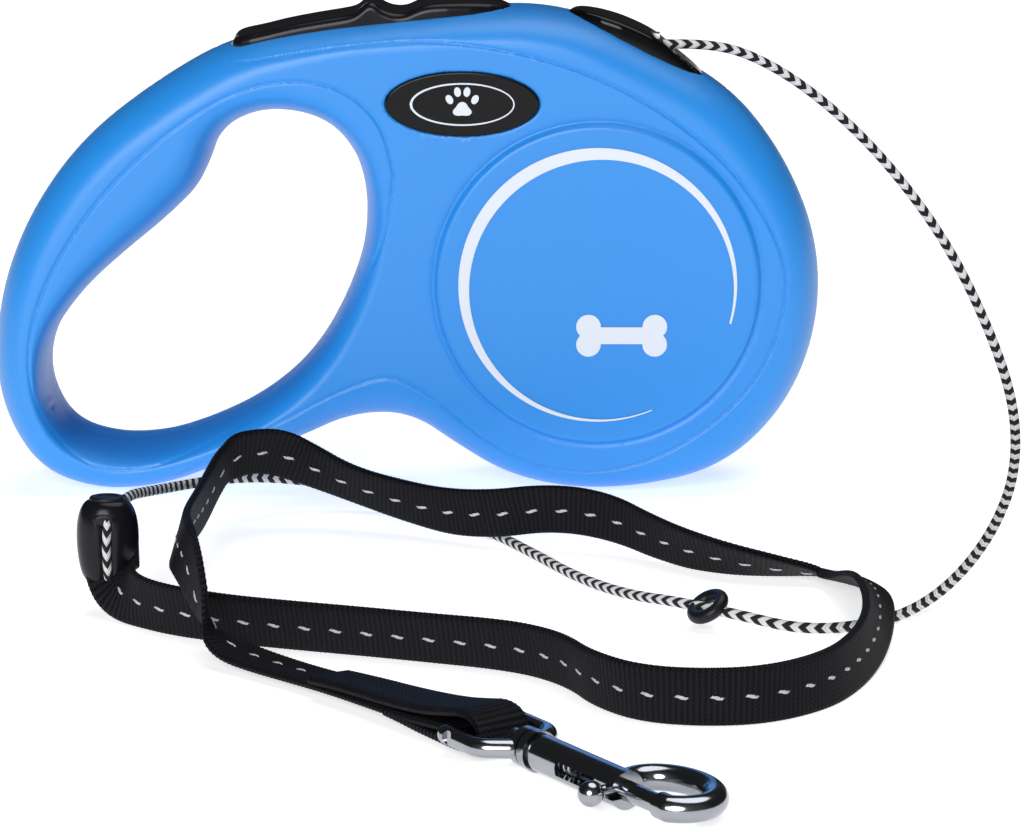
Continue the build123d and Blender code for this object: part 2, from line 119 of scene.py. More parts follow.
def cord_tube(name, line, radius, facing, step=0.45, sides=20):
    """A round tube; the seam of its UV lies away from the point it faces."""
    at, (line,) = resample([line], step)
    t = tangents(line)
    look = unit(np.array(facing) - line)
    up = unit(look - t * np.sum(look * t, axis=1, keepdims=True))
    side = np.cross(t, up)
    rings = []
    for p, u, s in zip(line, up, side):
        a = [math.pi + 2 * math.pi * j / sides for j in range(sides + 1)]
        rings.append([p + radius * (math.cos(b) * u + math.sin(b) * s) for b in a])
    around = [j / sides for j in range(sides + 1)]
    return skin(name, rings, at, around, closed=False, caps=False), line


# ---------------------------------------------------------------- materials
def material(name, color, rough=0.4, metal=0.0, coat=0.0, spec=0.5):
    m = bpy.data.materials.new(name)
    m.use_nodes = True
    b = m.node_tree.nodes["Principled BSDF"]
    b.inputs["Base Color"].default_value = (*color, 1)
    b.inputs["Roughness"].default_value = rough
    b.inputs["Metallic"].default_value = metal
    b.inputs["Coat Weight"].default_value = coat
    b.inputs["Specular IOR Level"].default_value = spec
    return m


def add(m, kind, **values):
    node = m.node_tree.nodes.new(kind)
    for key, value in values.items():
        setattr(node, key, value)
    return node


def wire(m, a, b):
    m.node_tree.links.new(a, b)


def shader(m):
    return m.node_tree.nodes["Principled BSDF"]


def math_node(m, op, a, b=None, c=None):
    node = add(m, "ShaderNodeMath", operation=op)
    for k, v in enumerate((a, b, c)):
        if v is None:
            continue
        if isinstance(v, (int, float)):
            node.inputs[k].default_value = v
        else:
            wire(m, v, node.inputs[k])
    return node.outputs[0]


def noise_bump(m, scale, strength, distance, detail=4.0, stretch=(1, 1, 1)):
    """A fine moulded or brushed grain."""
    coord = add(m, "ShaderNodeTexCoord")
    mapping = add(m, "ShaderNodeMapping")
    mapping.inputs["Scale"].default_value = stretch
    noise = add(m, "ShaderNodeTexNoise")
    noise.inputs["Scale"].default_value = scale
    noise.inputs["Detail"].default_value = detail
    bump = add(m, "ShaderNodeBump")
    bump.inputs["Strength"].default_value = strength
    bump.inputs["Distance"].default_value = distance
    wire(m, coord.outputs["Object"], mapping.inputs["Vector"])
    wire(m, mapping.outputs["Vector"], noise.inputs["Vector"])
    wire(m, noise.outputs["Fac"], bump.inputs["Height"])
    wire(m, bump.outputs["Normal"], shader(m).inputs["Normal"])
    return noise, bump


BLUE = material("casing blue", (0.016, 0.245, 0.72), rough=0.42, spec=0.6)
noise_bump(BLUE, 2600, 0.10, 0.00004)
BLACK_GLOSS = material("gloss black", (0.003, 0.003, 0.004), rough=0.12, spec=0.2)
noise_bump(BLACK_GLOSS, 900, 0.05, 0.00003)
BLACK_SATIN = material("satin black", (0.006, 0.006, 0.009), rough=0.24, spec=0.22)
noise_bump(BLACK_SATIN, 1500, 0.12, 0.00004)
RUBBER = material("rubber", (0.007, 0.007, 0.009), rough=0.38, spec=0.25)
noise_bump(RUBBER, 1800, 0.2, 0.00005)
PALE = material("pale print", (0.66, 0.71, 0.80), rough=0.5)
CHROME = material("chrome", (0.34, 0.35, 0.38), rough=0.15, metal=1.0)
noise_bump(CHROME, 260, 0.06, 0.0001)
STEEL = material("steel", (0.45, 0.45, 0.47), rough=0.3, metal=1.0)
THREAD = material("pale thread", (0.45, 0.46, 0.48), rough=0.55)
STRAP = material("webbing", (0.006, 0.006, 0.008), rough=0.55, spec=0.12)
CORD = material("braided cord", (0.7, 0.7, 0.7), rough=0.75, spec=0.3)


CHEVRON_PITCH = 2.6     # mm of cord from one black chevron to the next
RIB_PITCH = 0.9         # mm of strap from one cross rib to the next


def braid():
    """White yarn with black chevrons; the yarns' grain follows them."""
    m = CORD
    uv = add(m, "ShaderNodeUVMap")
    split = add(m, "ShaderNodeSeparateXYZ")
    wire(m, uv.outputs["UV"], split.inputs["Vector"])
    around = math_node(m, "ABSOLUTE", math_node(m, "SUBTRACT", split.outputs["Y"], 0.5))
    slant = math_node(m, "MULTIPLY", around, 2.3)
    turn = math_node(m, "DIVIDE", split.outputs["X"], CHEVRON_PITCH)
    phase = math_node(m, "FRACT", math_node(m, "ADD", turn, slant))
    ramp = add(m, "ShaderNodeValToRGB")
    ramp.color_ramp.elements[0].position = 0.44
    ramp.color_ramp.elements[0].color = (0.012, 0.012, 0.014, 1)
    ramp.color_ramp.elements[1].position = 0.50
    ramp.color_ramp.elements[1].color = (0.78, 0.78, 0.79, 1)
    edge = ramp.color_ramp.elements.new(0.93)
    edge.color = (0.72, 0.72, 0.73, 1)
    edge = ramp.color_ramp.elements.new(0.995)
    edge.color = (0.012, 0.012, 0.014, 1)
    wire(m, phase, ramp.inputs["Fac"])
    wire(m, ramp.outputs["Color"], shader(m).inputs["Base Color"])
    yarn = math_node(m, "SINE", math_node(m, "MULTIPLY", math_node(
        m, "ADD", math_node(m, "DIVIDE", split.outputs["X"], CHEVRON_PITCH), slant), 2 * math.pi * 4))
    bump = add(m, "ShaderNodeBump")
    bump.inputs["Strength"].default_value = 0.6
    bump.inputs["Distance"].default_value = 0.0002
    wire(m, yarn, bump.inputs["Height"])
    wire(m, bump.outputs["Normal"], shader(m).inputs["Normal"])


def weave():
    """Cross ribs with a fine diagonal grain, on the strap's own lengthwise UV, with painted shade that
    darkens the base colour in the valleys between ribs.
    """
    m = STRAP
    uv = add(m, "ShaderNodeUVMap")
    split = add(m, "ShaderNodeSeparateXYZ")
    wire(m, uv.outputs["UV"], split.inputs["Vector"])
    along = math_node(m, "MULTIPLY", split.outputs["X"], 2 * math.pi / RIB_PITCH)
    across = math_node(m, "MULTIPLY", split.outputs["Y"], 2 * math.pi / 0.75)
    rib = math_node(m, "SINE", along)
    grain = math_node(m, "SINE", math_node(m, "ADD", math_node(m, "MULTIPLY", along, 2.0), across))
    height = math_node(m, "ADD", rib, math_node(m, "MULTIPLY", grain, 0.5))
    bump = add(m, "ShaderNodeBump")
    bump.inputs["Strength"].default_value = 0.9
    bump.inputs["Distance"].default_value = 0.0002
    wire(m, height, bump.inputs["Height"])
    wire(m, bump.outputs["Normal"], shader(m).inputs["Normal"])
    # Painted shade: the base colour follows the ribs' height, darker in the valleys between ribs and less
    # dark on their crests.
    ramp = add(m, "ShaderNodeValToRGB")
    ramp.color_ramp.elements[0].color = (0.001, 0.001, 0.002, 1)
    ramp.color_ramp.elements[1].color = (0.014, 0.014, 0.019, 1)
    wire(m, math_node(m, "MULTIPLY_ADD", height, 0.3, 0.5), ramp.inputs["Fac"])
    wire(m, ramp.outputs["Color"], shader(m).inputs["Base Color"])


braid()
weave()


def paint(obj, mat):
    obj.data.materials.clear()
    obj.data.materials.append(mat)


# ---------------------------------------------------------------- camera, light, floor
CAMERA_AT = Vector((20, -760, 188.6))
AIM_AT = Vector((20, 0, 13.1))
cam_data = bpy.data.cameras.new("camera")
cam_data.lens = 143.1
cam_data.sensor_width = 36
cam = link(bpy.data.objects.new("camera", cam_data))
cam.location = CAMERA_AT * MM
cam.rotation_euler = (AIM_AT - CAMERA_AT).to_track_quat("-Z", "Y").to_euler()
scene.camera = cam

FLOOR_X, FLOOR_Y = 3000, 2500
floor = mesh_object("floor", [(-FLOOR_X, -FLOOR_Y, 0), (FLOOR_X, -FLOOR_Y, 0), (FLOOR_X, FLOOR_Y, 0),
                              (-FLOOR_X, FLOOR_Y, 0)], [(0, 1, 2, 3)])
FLOOR = material("floor", (0.86, 0.86, 0.86), rough=0.85, spec=0.1)
shader(FLOOR).inputs["Emission Color"].default_value = (1, 1, 1, 1)
shader(FLOOR).inputs["Emission Strength"].default_value = 0.62
paint(floor, FLOOR)


def sun(name, way, strength, angle):
    """A soft light that comes the same way everywhere, so the floor is lit evenly."""
    data = bpy.data.lights.new(name, "SUN")
    data.energy = strength
    data.angle = math.radians(angle)
    obj = link(bpy.data.objects.new(name, data))
    obj.rotation_euler = (-Vector(way)).to_track_quat("-Z", "Y").to_euler()
    return obj


sun("front", (-0.25, -1.0, 0.42), 2.3, 35)
sun("top", (0.2, 0.15, 1.0), 1.3, 50)
world = bpy.data.worlds.new("world")
world.use_nodes = True
tree = world.node_tree
coord = tree.nodes.new("ShaderNodeTexCoord")
axes = tree.nodes.new("ShaderNodeSeparateXYZ")
tree.links.new(coord.outputs["Generated"], axes.inputs["Vector"])
front = tree.nodes.new("ShaderNodeMapRange")
front.inputs["From Min"].default_value = -0.2
front.inputs["From Max"].default_value = -1.0
front.inputs["To Min"].default_value = 0.6
front.inputs["To Max"].default_value = 2.9
tree.links.new(axes.outputs["Y"], front.inputs["Value"])
tree.links.new(front.outputs["Result"], tree.nodes["Background"].inputs["Strength"])
scene.world = world
scene.view_settings.view_transform = "Standard"

# ---------------------------------------------------------------- free cord
CORD_ROUTE = [
    (47.6, 0, 84.2), (57, 0, 84.6), (67, -1, 81.6), (78.5, -3.5, 74.2), (90, -9, 63.5),
    (100.5, -17, 50), (107.5, -28, 36), (111, -42, 24.5), (109.5, -58, 15.5),
    (104, -73, 9), (96.5, -86, 4), (88, -97, 1.2), (78, -105.5, 0.9), (67.5, -110.5, 1.9),
    (57.5, -107.5, 3.6), (48, -99.7, 3.6), (39.5, -88.6, 1.8), (31.5, -74.5, 0.9),
    (24, -58.5, 0.9), (16.5, -43.5, 0.9), (7, -32, 1.2), (-4, -25.5, 3), (-15.5, -24.5, 5.6),
    (-26, -29, 7.8), (-34.5, -39.5, 9.8), (-40.5, -53.5, 12), (-44, -69, 15),
    (-46, -81, 17.4), (-47.2, -90, 17.8),
]
line = spline_line(CORD_ROUTE)
cord, cord_line = cord_tube("free_cord", line, 0.9, CAMERA_AT)
paint(cord, CORD)
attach(cord, "casing")
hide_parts("leash_cord")

# ---------------------------------------------------------------- strap
# The strap's lower edge where it stands on the table: x, y, z and how far its top leans
# to the left of its way, in degrees.
NEAR_RUN = [
    (-42.3, -102.6, 0, -8), (-36, -107.6, 0, -14), (-26.2, -112.1, 0, -18), (-14.9, -116.0, 0, -18),
    (-4, -119.4, 0, -18), (7, -123.2, 0, -18), (17, -126.8, 0, -16), (24, -131, 0, -14),
    (29.6, -138, 0, -10), (33.2, -147.6, 0, -8), (40, -155.8, 0, -6), (50, -158.2, 0, -4),
    (60, -156.6, 0, -2), (69.6, -149, 0, 3), (75.4, -138.4, 0, 8), (79.6, -126.5, 0.4, 15),
    (82.4, -115, 1.6, 28), (83.9, -104, 2.9, 45), (84.4, -92, 2.2, 62), (83.6, -80, 0.6, 74),
    (80.2, -71.4, 0.2, 77), (74, -68.8, 0.2, 70), (67, -69.2, 0, 58), (60, -69.0, 0, 44),
    (53, -66, 0, 30), (46, -60.6, 0.6, 20), (39.4, -55.6, 2.2, 15), (32.2, -53.2, 3.3, 14),
    (25, -52.4, 3.4, 14), (17.8, -50.6, 2.0, 14), (10, -46.8, 1.2, 15), (2.5, -41.8, 2.2, 24),
    (-7.8, -37.8, 5.0, 33), (-17.3, -35.8, 7.9, 18),
]
# The rest is given along the middle of its width: x, y, z and the way its width points.
LEFT_RUN = [
    (-22.8, -37.4, 14.6, 0.1, -0.3, 1), (-27.2, -39.4, 15.2, 0.2, -0.3, 0.85),
    (-31.0, -41.8, 14.6, 0.4, 0.05, 0.85), (-33.0, -45.2, 12.8, 0.16, 0, 0.97),
    (-34.4, -50.5, 10.6, 0.08, 0, 0.99), (-35.4, -59, 9.6, 0.08, 0, 0.99),
    (-36.2, -72, 10.4, 0.16, 0, 0.98), (-36.4, -86, 12.2, 0.22, 0, 0.97),
    (-36.0, -98, 13.8, 0.3, 0, 0.95), (-34.6, -107, 14.8, 0.3, -0.1, 0.95),
    (-33.0, -113.4, 13.9, 0.3, -0.4, 0.85), (-31.6, -117.6, 11, 0.3, -0.75, 0.55),
    (-30.2, -120.2, 7.2, 0.25, -0.95, 0.1), (-28.2, -122, 3.9, -0.1, -1, 0.05),
    (-24.8, -124.8, 2.1, -0.45, -0.9, 0.05), (-19.8, -129, 1.5, -0.65, -0.78, 0.08),
    (-13.6, -134.8, 1.4, -0.68, -0.74, 0.1), (-6, -142, 1.5, -0.7, -0.72, 0.08),
    (1.2, -150.4, 1.7, -0.74, -0.68, 0.05), (7.2, -158.2, 2.2, -0.8, -0.6, 0),
    (11.8, -164.4, 3.0, -0.81, -0.58, 0), (14.6, -168.4, 3.4, -0.82, -0.57, 0),
]
BEGIN = [(-48.0, -93.0, 11.5), (-47.8, -94.4, 7.4), (-46.4, -97.6, 5.2)]
BEGIN_UP = [(1, 0, 0.02), (0.9, 0.05, 0.42), (0.5, 0.1, 0.86)]
WIDTH = 9.5             # mm, the strap
THICK = 1.3
STITCH_PITCH = 5.4      # mm from one pale stitch to the next
STITCH_LONG = 2.3


def leaning(points):
    """The unit vectors that the width points along, from the lean at each point."""
    xy = np.array([p[:3] for p in points], dtype=float)
    way = np.gradient(xy, axis=0)
    way[:, 2] = 0
    way = unit(way)
    left = np.stack([-way[:, 1], way[:, 0], np.zeros(len(way))], axis=1)
    lean = np.radians([p[3] for p in points])[:, None]
    return left * np.sin(lean) + np.array([[0, 0, 1]]) * np.cos(lean)


near_up = leaning(NEAR_RUN)
near_mid = np.array([p[:3] for p in NEAR_RUN]) + near_up * WIDTH / 2
left_mid = np.array([p[:3] for p in LEFT_RUN])
STRAP_MID = np.concatenate([np.array(BEGIN), near_mid, left_mid])
left_up = unit(np.array([p[3:] for p in LEFT_RUN], dtype=float))
STRAP_UP = np.concatenate([unit(np.array(BEGIN_UP, dtype=float)), near_up, left_up])
centre = spline_line([tuple(p) for p in STRAP_MID])
guide = spline_line([tuple(p) for p in STRAP_MID + STRAP_UP * 30])


def ribbon(name, centre, guide, width, thick, step=0.225):
    at, (line, lead) = resample([centre, guide], step)
    t = tangents(line)
    up = lead - line
    up = unit(up - t * np.sum(up * t, axis=1, keepdims=True))
    out = np.cross(t, up)
    w, h = width / 2, thick / 2
    section = [(-w, 0.0), (-w + 0.25, h * 0.8), (-w + 0.7, h), (-w * 0.55, h), (0, h), (w * 0.55, h),
               (w - 0.7, h), (w - 0.25, h * 0.8), (w, 0.0), (w - 0.25, -h * 0.8), (w - 0.7, -h),
               (w * 0.55, -h), (0, -h), (-w * 0.55, -h), (-w + 0.7, -h), (-w + 0.25, -h * 0.8)]
    rings = []
    for i, (p, u, o) in enumerate(zip(line, up, out)):
        swell = 1 + 0.10 * math.sin(2 * math.pi * at[i] / RIB_PITCH)
        edge = 0.10 * math.sin(2 * math.pi * at[i] / RIB_PITCH)
        rings.append([p + u * (a + math.copysign(edge, a) * (abs(a) > w - 0.5)) + o * b * swell
                      for a, b in section])
    around = [a + (0 if b >= 0 else 40) for a, b in section]
    return skin(name, rings, at, around), line, up, out, at


strap, strap_line, strap_up, strap_out, strap_at = ribbon("strap", centre, guide, WIDTH, THICK)
paint(strap, STRAP)
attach(strap, "casing")
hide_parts("leash_strap")


# The sewn end: from its step, over the cross bar of the shackle and back below the strap.
END_LOOP = [
    (-9, -141.2, 2.9), (-4, -146.2, 3.3), (3, -154.4, 3.7), (9.6, -162.2, 4.6), (13.6, -167.2, 5.9),
    (15.9, -169.6, 6.6), (18.0, -172.2, 5.9), (18.8, -173.4, 3.6), (18.0, -172.3, 1.3), (15.6, -169.2, 0.9),
    (12, -164.6, 1.1), (8.6, -160.2, 1.3), (6, -157.0, 1.7), (3.6, -154, 1.9),
]
END_ACROSS = ([(-0.71, -0.70, 0.1)] * 2 + [(-0.78, -0.62, 0.04)] + [(-0.824, -0.566, 0)] * 8
              + [(-0.76, -0.65, 0)] * 3)
end_across = unit(np.array(END_ACROSS))
end_loop, end_line, end_up, end_out, end_at = ribbon(
    "strap_sewn_end", spline_line(END_LOOP),
    spline_line([tuple(p) for p in np.array(END_LOOP) + end_across * 30]), 9.3, 1.35)
paint(end_loop, STRAP)
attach(end_loop, "casing")
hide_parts("strap_end")


def dashes(name, side):
    """The pale thread's stitches along the middle of one face."""
    verts, faces = [], []
    at = 3.0
    while at < strap_at[-1] - 26:
        k = [int(np.searchsorted(strap_at, at + STITCH_LONG * f)) for f in (0, 0.25, 0.5, 0.75, 1.0)]
        base = len(verts)
        for f, i in zip((0, 0.25, 0.5, 0.75, 1.0), k):
            p, u, o = strap_line[i], strap_up[i], strap_out[i] * side
            half = 0.30 * math.sqrt(max(0.02, 1 - (2 * f - 1) ** 2))
            slip = 0.16 * math.sin(2 * math.pi * f)
            lift = 0.60 + 0.20 * math.sin(math.pi * f)
            for a, b in ((-half, -0.1), (0, 0.08), (half, -0.1)):
                verts.append(p + u * (a + slip) + o * (lift + b))
        for r in range(4):
            for c in range(2):
                q = base + 3 * r + c
                faces.append((q, q + 1, q + 4, q + 3))
        at += STITCH_PITCH
    obj = mesh_object(name, verts, faces)
    paint(obj, THREAD)
    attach(obj, "casing")
    return obj


stitches = [dashes("strap_thread_outer", 1), dashes("strap_thread_inner", -1)]


# ---------------------------------------------------------------- casing
HALF = 14.0
REEL = (36.0, 41.0)
DRUM = 30.2
LABEL = (10.8, 75.0, 14.25, 6.0)

# Points in (X, Z), the heading in degrees there, and how wide the edge's rounding is.
OUTLINE = [
    (-77.8, 25, 90, 6.6), (-67, 58.3, 55, 8), (-40, 81.2, 30, 8), (-10, 89, 6, 5.5), (20, 91.6, 1, 7),
    (40, 87.2, -26, 8.5), (66, 70, -51, 8.5), (78, 38, -91, 7.5), (66.5, 10, -135, 6.8), (36, 0, 180, 5.5),
    (14, 5.6, 149, 6), (-4.5, 14.4, 180, 8.5), (-26, 7.8, 198, 5), (-55, 0, 180, 5), (-72.5, 7.8, 125, 6),
]
FINGER_HOLE = [
    (-68.3, 22, 90, 2.6), (-57, 42, 42, 6), (-41, 56, 45, 8), (-36, 65, 72, 6.5), (-24, 72.6, 0, 5.6),
    (-11.5, 67.5, -50, 5), (-7.3, 54, -90, 4.8), (-14.5, 30.5, -120, 4.6), (-32, 14.2, -153, 4.2),
    (-53, 8.2, 180, 3.3), (-66, 14, 120, 3),
]
SPOOL_LINE = [
    (-37.5, 84.0), (-34.6, 82.6), (-30.5, 82.3), (-23.6, 83.6), (-13.1, 85.3), (-1.1, 86.5), (7, 86.5),
    (17.8, 85.3), (31.3, 81.8), (44.8, 75.6), (58.2, 65.8), (66.3, 55.5), (70.6, 46.6), (71.4, 40.5),
    (70.2, 32.8), (66.5, 23.9), (60.9, 16.9), (52.8, 10.6), (44.8, 6.7), (36.7, 4.9), (29.1, 5.1),
    (22.1, 7.3), (15.1, 10.9), (9.7, 15.4), (4.3, 20.2), (-1.1, 22.9), (-3.5, 23.4), (-7.8, 22.4),
    (-13.1, 20.2), (-18.3, 17.5), (-28.9, 11.6), (-43.1, 4.4),
]
HANDLE_LINE = [
    (-2, 61.8), (-3.1, 68.3), (-6.2, 73.6), (-11.5, 77.6), (-18.3, 79.4), (-26.2, 78.8), (-34.1, 75.9),
    (-42, 71), (-51, 63.5), (-58.9, 54.8), (-65.2, 45.1), (-68.9, 37), (-70.6, 29.9), (-70.8, 23.5),
    (-69.7, 17.6), (-66.8, 12.1), (-62.6, 7.9), (-57.8, 5.6), (-52.6, 5.1), (-46.8, 6.0), (-39.4, 8.9),
    (-31.5, 13), (-23.6, 18.7), (-15.7, 27.2), (-9.4, 37), (-5.2, 46.2), (-2.6, 54.3), (-2, 61.8),
]


def rounded_loop(stations, step=0.7):
    """Points of a closed loop of tangent arcs, with the fourth value carried along."""
    points, widths = [], []
    for (x0, z0, h0, w0), (x1, z1, h1, w1) in zip(stations, stations[1:] + stations[:1]):
        p, q = np.array([x0, z0]), np.array([x1, z1])
        t0 = np.array([math.cos(math.radians(h0)), math.sin(math.radians(h0))])
        t1 = np.array([math.cos(math.radians(h1)), math.sin(math.radians(h1))])
        v = q - p
        a, b, c = 2 * (1 - t0 @ t1), 2 * v @ (t0 + t1), v @ v
        d = c / b if a < 1e-6 else (-b + math.sqrt(b * b + 4 * a * c)) / (2 * a)
        m = (p + t0 * d + q - t1 * d) / 2
        tm = q - t1 * d - p - t0 * d
        tm = tm / np.linalg.norm(tm)
        for start, end, t, share in ((p, m, t0, 0.0), (m, q, tm, 0.5)):
            n = np.array([-t[1], t[0]])
            w = end - start
            turn = 2 * math.atan2(w @ n, w @ t)
            reach = np.linalg.norm(w) if abs(turn) < 1e-5 else abs(turn) * np.linalg.norm(w) / (
                2 * abs(math.sin(turn / 2)))
            count = max(2, int(reach / step))
            for k in range(count):
                s = k / count
                if abs(turn) < 1e-5:
                    point = start + w * s
                else:
                    r = reach / turn
                    point = start + r * (math.sin(turn * s) * t + (1 - math.cos(turn * s)) * n)
                points.append(point)
                widths.append(w0 + (w1 - w0) * (share + s / 2))
    return np.array(points), np.array(widths)


def curve2d(points, closed=False):
    line = spline_line([(x, z, 0) for x, z in points], 8)
    return line[:, :2]


def distance(at, loop, closed=True):
    """Distance of each point to a polyline, and the polyline's share there."""
    a = loop
    b = np.roll(loop, -1, axis=0) if closed else loop[1:]
    a = a if closed else loop[:-1]
    best = np.full(len(at), 1e9)
    where = np.zeros(len(at))
    for i0 in range(0, len(at), 3000):
        p = at[i0:i0 + 3000, None, :]
        ab = (b - a)[None]
        s = np.clip(np.sum((p - a) * ab, axis=2) / np.maximum(np.sum(ab * ab, axis=2), 1e-12), 0, 1)
        d = np.linalg.norm(p - a - ab * s[..., None], axis=2)
        k = np.argmin(d, axis=1)
        best[i0:i0 + 3000] = d[np.arange(len(k)), k]
        where[i0:i0 + 3000] = k + s[np.arange(len(k)), k]
    return best, where


def inside(at, loop):
    x, z = at[:, 0:1], at[:, 1:2]
    a, b = loop, np.roll(loop, -1, axis=0)
    cross = (a[:, 1] > z) != (b[:, 1] > z)
    with np.errstate(divide="ignore", invalid="ignore"):
        xi = a[:, 0] + (z - a[:, 1]) * (b[:, 0] - a[:, 0]) / (b[:, 1] - a[:, 1])
    return np.sum(cross & (x < xi), axis=1) % 2 == 1


def shift_loop(loop, by):
    """The loop moved sideways; a positive value moves it to the right of its way."""
    t = unit(np.roll(loop, -1, axis=0) - np.roll(loop, 1, axis=0))
    return loop + np.stack([t[:, 1], -t[:, 0]], axis=1) * by[:, None]


outer, outer_width = rounded_loop(OUTLINE)
hole, hole_width = rounded_loop(FINGER_HOLE)
spool_line = curve2d(SPOOL_LINE)
handle_line = curve2d(HANDLE_LINE)


def edge_profile(d, width):
    """How far the surface stands out of the parting plane at a distance from the rim."""
    s = np.clip(d / width, 0, 1)
    return 2.2 + (HALF - 2.2) * np.power(1 - np.power(1 - s, 2.3), 1 / 2.0)


def smooth_step(x, a, b):
    s = np.clip((x - a) / (b - a), 0, 1)
    return s * s * (3 - 2 * s)


def depth(at, labelled=True):
    d_out, k_out = distance(at, outer)
    d_in, k_in = distance(at, hole)
    w_out = np.interp(k_out, np.arange(len(outer) + 1), np.append(outer_width, outer_width[0]))
    w_in = np.interp(k_in, np.arange(len(hole) + 1), np.append(hole_width, hole_width[0]))
    a, b = edge_profile(d_out, w_out), edge_profile(d_in, w_in)
    blend = 0.5
    y = np.minimum(a, b) - np.maximum(0, blend - np.abs(a - b)) ** 2 / (4 * blend)
    r = np.hypot(at[:, 0] - REEL[0], at[:, 1] - REEL[1])
    y += 1.0 * (1 - smooth_step(r, DRUM - 0.6, DRUM + 0.5))
    y -= 0.25 * np.exp(-((r - DRUM - 0.55) / 0.3) ** 2)
    g, _ = distance(at, spool_line, closed=False)
    y -= 0.34 * np.exp(-(g / 0.26) ** 2)
    g, _ = distance(at, handle_line, closed=False)
    y -= 0.30 * np.exp(-(g / 0.26) ** 2)
    lx, lz, la, lb = LABEL
    e = np.hypot((at[:, 0] - lx) / la, (at[:, 1] - lz) / lb)
    y -= 0.8 * (1 - smooth_step(e, 0.995, 1.02))
    return y


def casing_points():
    """Points of the casing's face, close together where its surface bends."""
    groups = []
    for loop, width, way in ((outer, outer_width, 1), (hole, hole_width, -1)):
        for k in range(1, 15):
            share = 1 - math.cos(math.radians(90 * k / 14))
            groups.append(shift_loop(loop, way * width * max(share, 0.004 * k)))
    for path, closed in ((spool_line, False), (handle_line, False)):
        at3 = np.column_stack([path, np.zeros(len(path))])
        _, (dense,) = resample([at3], 0.7)
        dense = dense[:, :2]
        t = unit(np.gradient(dense, axis=0))
        n = np.stack([-t[:, 1], t[:, 0]], axis=1)
        for by in (-0.9, -0.55, -0.33, -0.16, 0, 0.16, 0.33, 0.55, 0.9):
            groups.append(dense + n * by)
    for r in (28.4, 29.2, 29.7, 29.95, 30.2, 30.45, 30.75, 31.0, 31.4, 32.2):
        a = np.linspace(0, 2 * math.pi, 300, endpoint=False)
        groups.append(np.stack([REEL[0] + r * np.cos(a), REEL[1] + r * np.sin(a)], axis=1))
    lx, lz, la, lb = LABEL
    for e in (0.93, 0.99, 1.0, 1.01, 1.02, 1.07):
        a = np.linspace(0, 2 * math.pi, 160, endpoint=False)
        groups.append(np.stack([lx + la * e * np.cos(a), lz + lb * e * np.sin(a)], axis=1))
    grid = np.array([(x + (0.55 if k % 2 else 0), z) for k, z in enumerate(np.arange(1, 92, 0.95))
                     for x in np.arange(-77, 78, 1.1)])
    groups.append(grid)
    points = np.concatenate(groups)
    points = points[inside(points, outer) & ~inside(points, hole)]
    d_out, _ = distance(points, outer)
    d_in, _ = distance(points, hole)
    keep = (d_out > 0.012) & (d_in > 0.012)
    return points[keep]


def thin_out(points, spacing):
    """Drops points that stand too close to one already kept."""
    cells, kept = set(), []
    for p in points:
        key = (int(p[0] / spacing), int(p[1] / spacing))
        if key in cells:
            continue
        cells.add(key)
        kept.append(p)
    return np.array(kept)


def casing_half(name, side):
    inner = thin_out(casing_points(), 0.11)
    flat = np.concatenate([outer, hole, inner])
    n_out, n_hole = len(outer), len(hole)
    edges = [(i, (i + 1) % n_out) for i in range(n_out)]
    edges += [(n_out + i, n_out + (i + 1) % n_hole) for i in range(n_hole)]
    verts, _, faces, _, _, _ = delaunay_2d_cdt([Vector(p) for p in flat], edges, [], 0, 1e-5)
    flat = np.array([v[:] for v in verts])
    tri = np.array([f for f in faces if len(f) == 3])
    mid = flat[tri].mean(axis=1)
    tri = tri[inside(mid, outer) & ~inside(mid, hole)]
    y = depth(flat)
    top = [(p[0], side * d, p[1]) for p, d in zip(flat, y)]
    # the rim from the parting plane up to the face's own edge
    def rim(loop, turn):
        base = len(top)
        d = depth(loop)
        for level in (0.0, 0.12, 0.4, 1.0):
            for p, q in zip(loop, d):
                top.append((p[0], side * max(q * level, 0.06), p[1]))
        n = len(loop)
        for row in range(3):
            for i in range(n):
                a, b = base + row * n + i, base + row * n + (i + 1) % n
                c, e = base + (row + 1) * n + (i + 1) % n, base + (row + 1) * n + i
                quads.append((a, b, c, e) if turn else (e, c, b, a))
    quads = []
    rim(outer, side > 0)
    rim(hole, side < 0)
    cross = np.cross(flat[tri][:, 1] - flat[tri][:, 0], flat[tri][:, 2] - flat[tri][:, 0])
    front = [tuple(int(i) for i in t) if (c > 0) == (side < 0) else tuple(int(i) for i in t[::-1])
             for t, c in zip(tri, cross)]
    obj = mesh_object(name, top, front + quads)
    import bmesh
    bm = bmesh.new()
    bm.from_mesh(obj.data)
    bmesh.ops.remove_doubles(bm, verts=bm.verts, dist=0.003 * MM)
    bm.to_mesh(obj.data)
    bm.free()
    for p in obj.data.polygons:
        p.use_smooth = True
    return obj


for name, side, node in (("casing_front_skin", -1, "casing_front"), ("casing_rear_skin", 1, "casing_rear")):
    half = casing_half(name, side)
    paint(half, BLUE)
    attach(half, "casing")
    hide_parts(node)

